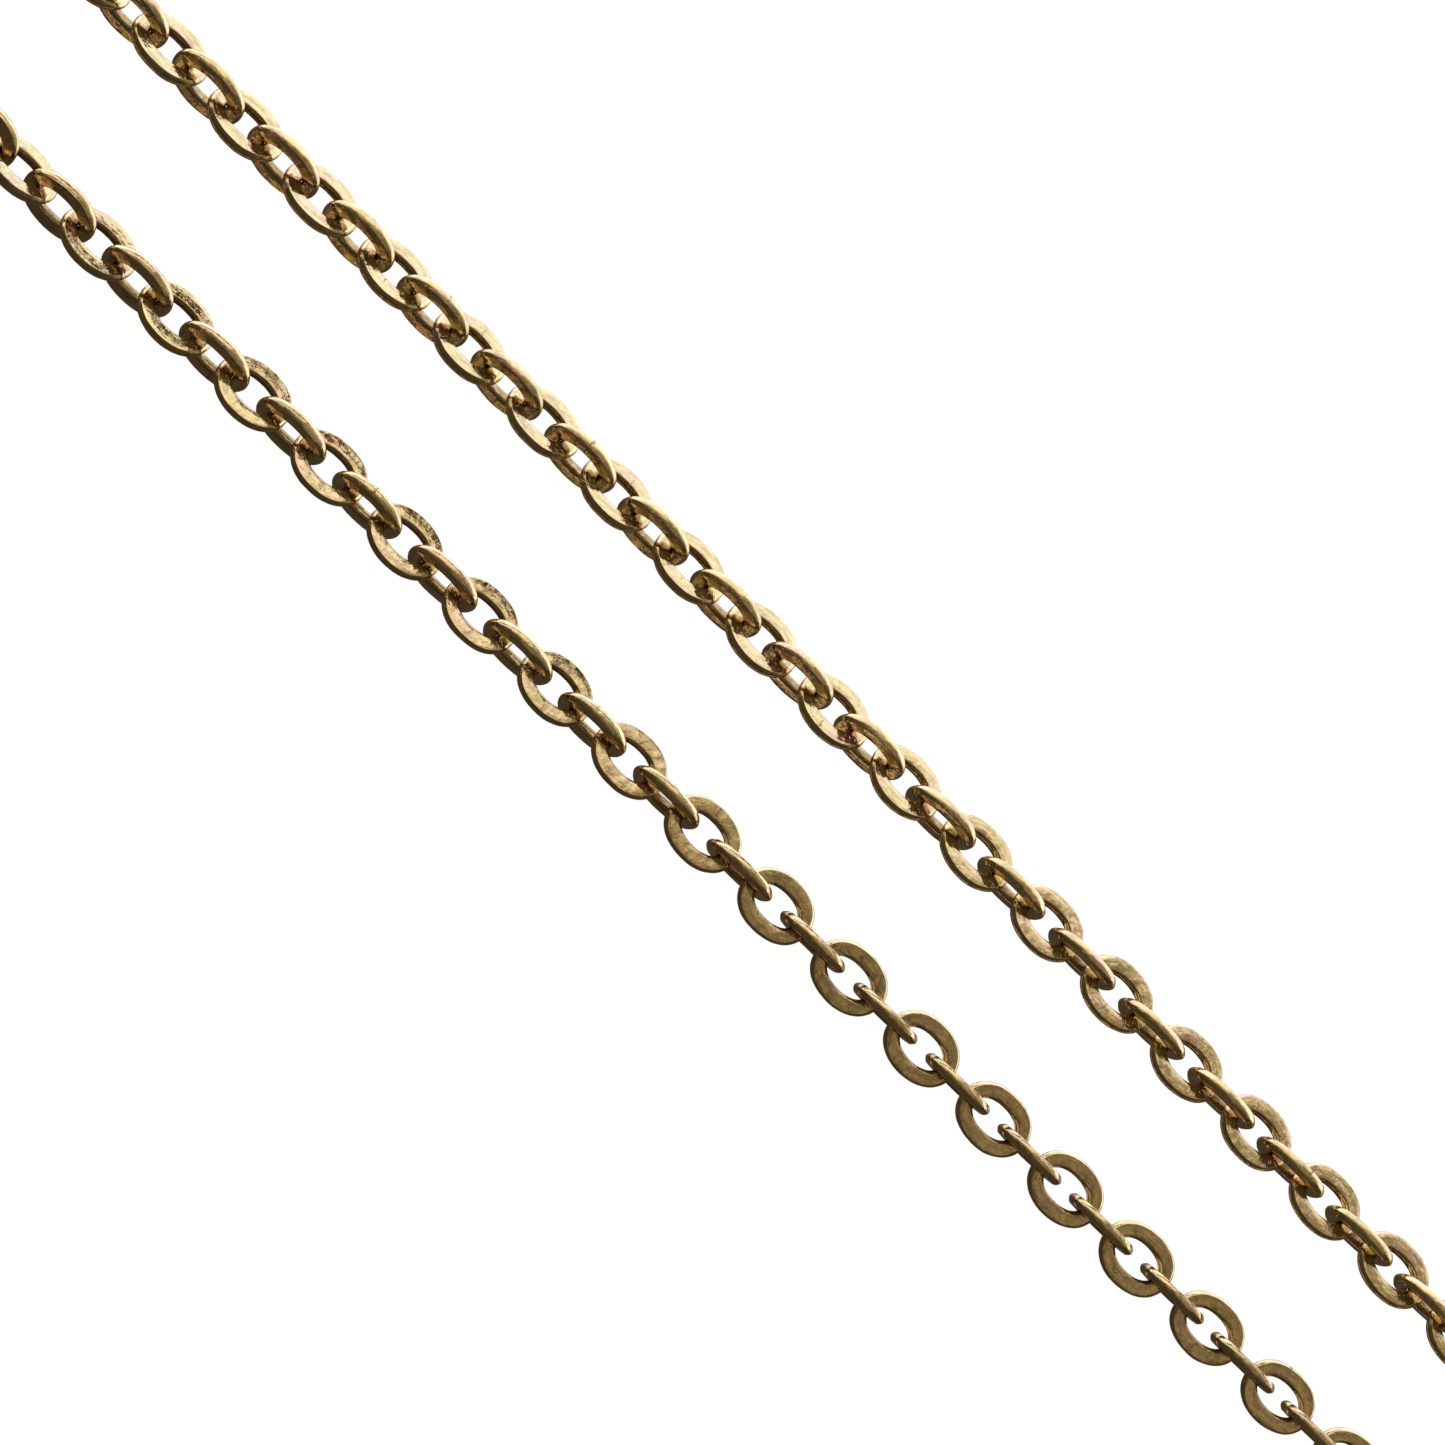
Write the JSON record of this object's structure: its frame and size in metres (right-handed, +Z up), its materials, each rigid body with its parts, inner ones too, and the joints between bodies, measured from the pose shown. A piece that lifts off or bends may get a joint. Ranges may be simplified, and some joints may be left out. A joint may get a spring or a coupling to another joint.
{
  "type": "pocket watch chain",
  "caption": "Gold pocket watch chain of filed oval trace links, doubled back in a U, with a T bar on one end and a swivel clasp with a sprung gate on the other.",
  "frame": {"origin": "on the table, under the middle of the box that holds the whole laid-out chain", "axes": "+X along the two strands towards the U bend, +Z up off the table, +Y towards the strand that ends in the T bar"},
  "size_m": [0.1566, 0.0334, 0.0046],
  "materials": {
    "gold": "polished rose and yellow gold, worn, finely scratched, darkened in the crevices",
    "steel": "bright spring steel"
  },
  "bodies": {
    "run_01": {"run_01": "gold"},
    "run_02": {"run_02": "gold"},
    "run_03": {"run_03": "gold"},
    "run_04": {"run_04": "gold"},
    "run_05": {"run_05": "gold"},
    "link_01": {"link_01": "gold"},
    "link_02": {"link_02": "gold"},
    "link_03": {"link_03": "gold"},
    "link_04": {"link_04": "gold"},
    "link_05": {"link_05": "gold"},
    "link_06": {"link_06": "gold"},
    "link_07": {"link_07": "gold"},
    "link_08": {"link_08": "gold"},
    "link_09": {"link_09": "gold"},
    "link_10": {"link_10": "gold"},
    "link_11": {"link_11": "gold"},
    "link_12": {"link_12": "gold"},
    "link_13": {"link_13": "gold"},
    "link_14": {"link_14": "gold"},
    "link_15": {"link_15": "gold"},
    "link_16": {"link_16": "gold"},
    "link_17": {"link_17": "gold"},
    "link_18": {"link_18": "gold"},
    "link_19": {"link_19": "gold"},
    "link_20": {"link_20": "gold"},
    "link_21": {"link_21": "gold"},
    "link_22": {"link_22": "gold"},
    "link_23": {"link_23": "gold"},
    "link_24": {"link_24": "gold"},
    "link_25": {"link_25": "gold"},
    "link_26": {"link_26": "gold"},
    "link_27": {"link_27": "gold"},
    "link_28": {"link_28": "gold"},
    "link_29": {"link_29": "gold"},
    "link_30": {"link_30": "gold"},
    "link_31": {"link_31": "gold"},
    "link_32": {"link_32": "gold"},
    "link_33": {"link_33": "gold"},
    "link_34": {"link_34": "gold"},
    "run_06": {"run_06": "gold"},
    "run_07": {"run_07": "gold"},
    "run_08": {"run_08": "gold"},
    "run_09": {"run_09": "gold"},
    "run_10": {"run_10": "gold"},
    "run_11": {"run_11": "gold"},
    "run_12": {"run_12": "gold"},
    "run_13": {"run_13": "gold"},
    "run_14": {"run_14": "gold"},
    "run_15": {"run_15": "gold"},
    "run_16": {"run_16": "gold"},
    "run_17": {"run_17": "gold"},
    "run_18": {"run_18": "gold"},
    "tee_ring": {"tee_ring": "gold"},
    "t_bar": {"t_bar": "gold"},
    "clasp_ring": {"clasp_ring": "gold"},
    "clasp_bail": {"clasp_bail": "gold"},
    "clasp": {"clasp_body": "gold", "gate_pin": "steel", "gate_spring": "steel"},
    "clasp_gate": {"clasp_gate": "gold"}
  },
  "joints": [
    {"name": "link_29_swing", "type": "hinge", "parent": "link_30", "child": "link_29", "pos_m": [0.07528, -0.00209, 0.00177], "axis": [0.6876, 0.3451, 0.6389], "range_deg": [-60, 15]},
    {"name": "link_28_swing", "type": "hinge", "parent": "link_29", "child": "link_28", "pos_m": [0.07247, -0.00064, 0.00174], "axis": [0.377, 0.5662, -0.733], "range_deg": [-60, 60]},
    {"name": "link_27_swing", "type": "hinge", "parent": "link_28", "child": "link_27", "pos_m": [0.06932, -0.00085, 0.00184], "axis": [-0.0373, -0.6939, -0.7191], "range_deg": [-60, 60]},
    {"name": "link_26_swing", "type": "hinge", "parent": "link_27", "child": "link_26", "pos_m": [0.06627, -0.00086, 0.00194], "axis": [0.0197, -0.6947, 0.719], "range_deg": [-60, 60]},
    {"name": "link_25_swing", "type": "hinge", "parent": "link_26", "child": "link_25", "pos_m": [0.06323, -0.00085, 0.00192], "axis": [0.0012, 0.546, 0.8378], "range_deg": [-60, 60]},
    {"name": "link_24_swing", "type": "hinge", "parent": "link_25", "child": "link_24", "pos_m": [0.06019, -0.00084, 0.00192], "axis": [0.0023, 0.6947, -0.7193], "range_deg": [-60, 60]},
    {"name": "link_23_swing", "type": "hinge", "parent": "link_24", "child": "link_23", "pos_m": [0.05715, -0.00083, 0.00191], "axis": [-0.0012, -0.5486, -0.8361], "range_deg": [-60, 60]},
    {"name": "link_22_swing", "type": "hinge", "parent": "link_23", "child": "link_22", "pos_m": [0.05411, -0.00082, 0.00191], "axis": [-0.0023, -0.6947, 0.7193], "range_deg": [-60, 60]},
    {"name": "link_21_swing", "type": "hinge", "parent": "link_22", "child": "link_21", "pos_m": [0.05107, -0.00082, 0.00191], "axis": [0.0012, 0.5513, 0.8343], "range_deg": [-60, 60]},
    {"name": "link_20_swing", "type": "hinge", "parent": "link_21", "child": "link_20", "pos_m": [0.04803, -0.00081, 0.00191], "axis": [0.0023, 0.6947, -0.7193], "range_deg": [-60, 60]},
    {"name": "link_19_swing", "type": "hinge", "parent": "link_20", "child": "link_19", "pos_m": [0.04499, -0.0008, 0.00191], "axis": [-0.0012, -0.5539, -0.8326], "range_deg": [-60, 60]},
    {"name": "link_18_swing", "type": "hinge", "parent": "link_19", "child": "link_18", "pos_m": [0.04195, -0.00079, 0.00191], "axis": [-0.0023, -0.6947, 0.7193], "range_deg": [-60, 60]},
    {"name": "link_17_swing", "type": "hinge", "parent": "link_18", "child": "link_17", "pos_m": [0.03891, -0.00078, 0.00191], "axis": [0.0012, 0.5566, 0.8308], "range_deg": [-60, 60]},
    {"name": "link_16_swing", "type": "hinge", "parent": "link_17", "child": "link_16", "pos_m": [0.03587, -0.00077, 0.00191], "axis": [0.0023, 0.6947, -0.7193], "range_deg": [-60, 60]},
    {"name": "link_15_swing", "type": "hinge", "parent": "link_16", "child": "link_15", "pos_m": [0.03283, -0.00076, 0.00188], "axis": [0.0044, -0.5592, -0.829], "range_deg": [-60, 60]},
    {"name": "link_14_swing", "type": "hinge", "parent": "link_15", "child": "link_14", "pos_m": [0.02979, -0.00076, 0.00183], "axis": [-0.0129, -0.6713, 0.7411], "range_deg": [-60, 60]},
    {"name": "link_13_swing", "type": "hinge", "parent": "link_14", "child": "link_13", "pos_m": [0.02675, -0.00075, 0.00182], "axis": [-0.0016, 0.6383, 0.7698], "range_deg": [-60, 60]},
    {"name": "link_12_swing", "type": "hinge", "parent": "link_13", "child": "link_12", "pos_m": [0.02371, -0.00074, 0.00185], "axis": [-0.0047, 0.6225, -0.7826], "range_deg": [-60, 60]},
    {"name": "link_11_swing", "type": "hinge", "parent": "link_12", "child": "link_11", "pos_m": [0.02067, -0.00073, 0.00188], "axis": [-0.0087, -0.7112, -0.7029], "range_deg": [-60, 60]},
    {"name": "link_10_swing", "type": "hinge", "parent": "link_11", "child": "link_10", "pos_m": [0.01763, -0.00072, 0.00191], "axis": [0.0057, -0.5712, 0.8208], "range_deg": [-60, 60]},
    {"name": "link_09_swing", "type": "hinge", "parent": "link_10", "child": "link_09", "pos_m": [0.01459, -0.00071, 0.00193], "axis": [0.0056, 0.7771, 0.6293], "range_deg": [-60, 60]},
    {"name": "link_08_swing", "type": "hinge", "parent": "link_09", "child": "link_08", "pos_m": [0.01155, -0.0007, 0.00193], "axis": [-0.0003, 0.5373, -0.8434], "range_deg": [-60, 60]},
    {"name": "link_07_swing", "type": "hinge", "parent": "link_08", "child": "link_07", "pos_m": [0.00851, -0.0007, 0.00194], "axis": [-0.0036, -0.7862, -0.6179], "range_deg": [-60, 60]},
    {"name": "link_06_swing", "type": "hinge", "parent": "link_07", "child": "link_06", "pos_m": [0.00547, -0.00069, 0.00194], "axis": [0.0003, -0.5225, 0.8526], "range_deg": [-60, 60]},
    {"name": "link_05_swing", "type": "hinge", "parent": "link_06", "child": "link_05", "pos_m": [0.00243, -0.00068, 0.00195], "axis": [0.0035, 0.7951, 0.6064], "range_deg": [-60, 60]},
    {"name": "link_04_swing", "type": "hinge", "parent": "link_05", "child": "link_04", "pos_m": [-0.00061, -0.00067, 0.00196], "axis": [-0.0003, 0.5075, -0.8616], "range_deg": [-60, 60]},
    {"name": "link_03_swing", "type": "hinge", "parent": "link_04", "child": "link_03", "pos_m": [-0.00365, -0.00066, 0.00196], "axis": [-0.0035, -0.8039, -0.5948], "range_deg": [-60, 60]},
    {"name": "link_02_swing", "type": "hinge", "parent": "link_03", "child": "link_02", "pos_m": [-0.00669, -0.00065, 0.00197], "axis": [0.0003, -0.4924, 0.8704], "range_deg": [-60, 60]},
    {"name": "link_01_swing", "type": "hinge", "parent": "link_02", "child": "link_01", "pos_m": [-0.00973, -0.00064, 0.00197], "axis": [0.0034, 0.8124, 0.5831], "range_deg": [-60, 60]},
    {"name": "run_05_swing", "type": "hinge", "parent": "link_01", "child": "run_05", "pos_m": [-0.01277, -0.00064, 0.00198], "axis": [-0.0002, 0.4772, -0.8788], "range_deg": [-60, 60]},
    {"name": "run_04_swing", "type": "hinge", "parent": "run_05", "child": "run_04", "pos_m": [-0.02189, -0.00061, 0.00199], "axis": [-0.0028, -0.829, -0.5592], "range_deg": [-60, 60]},
    {"name": "run_03_swing", "type": "hinge", "parent": "run_04", "child": "run_03", "pos_m": [-0.03101, -0.00058, 0.00199], "axis": [-0.0013, -0.454, 0.891], "range_deg": [-60, 60]},
    {"name": "run_02_swing", "type": "hinge", "parent": "run_03", "child": "run_02", "pos_m": [-0.04013, -0.00056, 0.00199], "axis": [0.0024, 0.829, 0.5592], "range_deg": [-60, 60]},
    {"name": "run_01_swing", "type": "hinge", "parent": "run_02", "child": "run_01", "pos_m": [-0.04925, -0.00053, 0.00207], "axis": [-0.0116, 0.3462, -0.9381], "range_deg": [-60, 60]},
    {"name": "tee_ring_swing", "type": "hinge", "parent": "run_01", "child": "tee_ring", "pos_m": [-0.05678, 0.00436, 0.00204], "axis": [-0.7091, -0.7051, 0], "range_deg": [-60, 60]},
    {"name": "t_bar_swing", "type": "hinge", "parent": "tee_ring", "child": "t_bar", "pos_m": [-0.05832, 0.00637, 0.00152], "axis": [0.2822, -0.3265, -0.9021], "range_deg": [-75, 75]},
    {"name": "link_31_swing", "type": "hinge", "parent": "link_30", "child": "link_31", "pos_m": [0.07712, -0.00589, 0.00185], "axis": [0.6876, 0.3451, 0.6389], "range_deg": [-60, 60]},
    {"name": "link_32_swing", "type": "hinge", "parent": "link_31", "child": "link_32", "pos_m": [0.07651, -0.00899, 0.0019], "axis": [0.5918, -0.0705, -0.803], "range_deg": [-60, 0]},
    {"name": "link_33_swing", "type": "hinge", "parent": "link_32", "child": "link_33", "pos_m": [0.07438, -0.01132, 0.00194], "axis": [-0.6721, 0.4948, -0.5508], "range_deg": [-60, 60]},
    {"name": "link_34_swing", "type": "hinge", "parent": "link_33", "child": "link_34", "pos_m": [0.07135, -0.01221, 0.00198], "axis": [-0.1769, 0.4724, 0.8635], "range_deg": [-60, 60]},
    {"name": "run_06_swing", "type": "hinge", "parent": "link_34", "child": "run_06", "pos_m": [0.06821, -0.012, 0.00201], "axis": [0.0072, -0.8899, 0.4562], "range_deg": [-60, 60]},
    {"name": "run_07_swing", "type": "hinge", "parent": "run_06", "child": "run_07", "pos_m": [0.05879, -0.01203, 0.00202], "axis": [0.0014, -0.4092, -0.9124], "range_deg": [-60, 60]},
    {"name": "run_08_swing", "type": "hinge", "parent": "run_07", "child": "run_08", "pos_m": [0.04937, -0.01206, 0.00201], "axis": [-0.0025, 0.9108, -0.4129], "range_deg": [-60, 60]},
    {"name": "run_09_swing", "type": "hinge", "parent": "run_08", "child": "run_09", "pos_m": [0.03995, -0.01208, 0.00201], "axis": [-0.0014, 0.4165, 0.9091], "range_deg": [-60, 60]},
    {"name": "run_10_swing", "type": "hinge", "parent": "run_09", "child": "run_10", "pos_m": [0.03053, -0.01211, 0.00201], "axis": [0.0025, -0.9074, 0.4202], "range_deg": [-60, 60]},
    {"name": "run_11_swing", "type": "hinge", "parent": "run_10", "child": "run_11", "pos_m": [0.02111, -0.01214, 0.00197], "axis": [0.0087, -0.4617, -0.887], "range_deg": [-60, 60]},
    {"name": "run_12_swing", "type": "hinge", "parent": "run_11", "child": "run_12", "pos_m": [0.01169, -0.01216, 0.00185], "axis": [0.0067, 0.8192, -0.5735], "range_deg": [-60, 60]},
    {"name": "run_13_swing", "type": "hinge", "parent": "run_12", "child": "run_13", "pos_m": [0.00227, -0.01219, 0.00176], "axis": [-0.0012, 0.7314, 0.682], "range_deg": [-60, 60]},
    {"name": "run_14_swing", "type": "hinge", "parent": "run_13", "child": "run_14", "pos_m": [-0.00715, -0.01222, 0.00178], "axis": [0.0039, -0.6648, 0.747], "range_deg": [-60, 60]},
    {"name": "run_15_swing", "type": "hinge", "parent": "run_14", "child": "run_15", "pos_m": [-0.01657, -0.01224, 0.00181], "axis": [0.0005, -0.7623, -0.6472], "range_deg": [-60, 60]},
    {"name": "run_16_swing", "type": "hinge", "parent": "run_15", "child": "run_16", "pos_m": [-0.02599, -0.01227, 0.00185], "axis": [-0.0076, 0.6293, -0.7771], "range_deg": [-60, 60]},
    {"name": "run_17_swing", "type": "hinge", "parent": "run_16", "child": "run_17", "pos_m": [-0.03541, -0.0123, 0.00196], "axis": [0.0028, 0.8499, 0.5269], "range_deg": [-60, 60]},
    {"name": "run_18_swing", "type": "hinge", "parent": "run_17", "child": "run_18", "pos_m": [-0.04483, -0.01232, 0.00206], "axis": [0.0132, -0.3461, 0.9381], "range_deg": [-60, 60]},
    {"name": "clasp_ring_swing", "type": "hinge", "parent": "run_18", "child": "clasp_ring", "pos_m": [-0.05425, -0.01235, 0.00204], "axis": [0.0028, -1, 0], "range_deg": [-60, 60]},
    {"name": "clasp_bail_swing", "type": "hinge", "parent": "clasp_ring", "child": "clasp_bail", "pos_m": [-0.05666, -0.01236, 0.00132], "axis": [0.5368, 0.0015, -0.8437], "range_deg": [-60, 60]},
    {"name": "clasp_swivel", "type": "hinge", "parent": "clasp_bail", "child": "clasp", "pos_m": [-0.05971, -0.01237, 0.00132], "axis": [-1, -0.0028, 0], "continuous": true},
    {"name": "clasp_gate_hinge", "type": "hinge", "parent": "clasp", "child": "clasp_gate", "pos_m": [-0.06532, -0.00938, 0.00132], "axis": [0, 0, 1], "range_deg": [0, 30], "stiffness_Nm_per_rad": 0.0004, "springref_deg": -20.05}
  ]
}
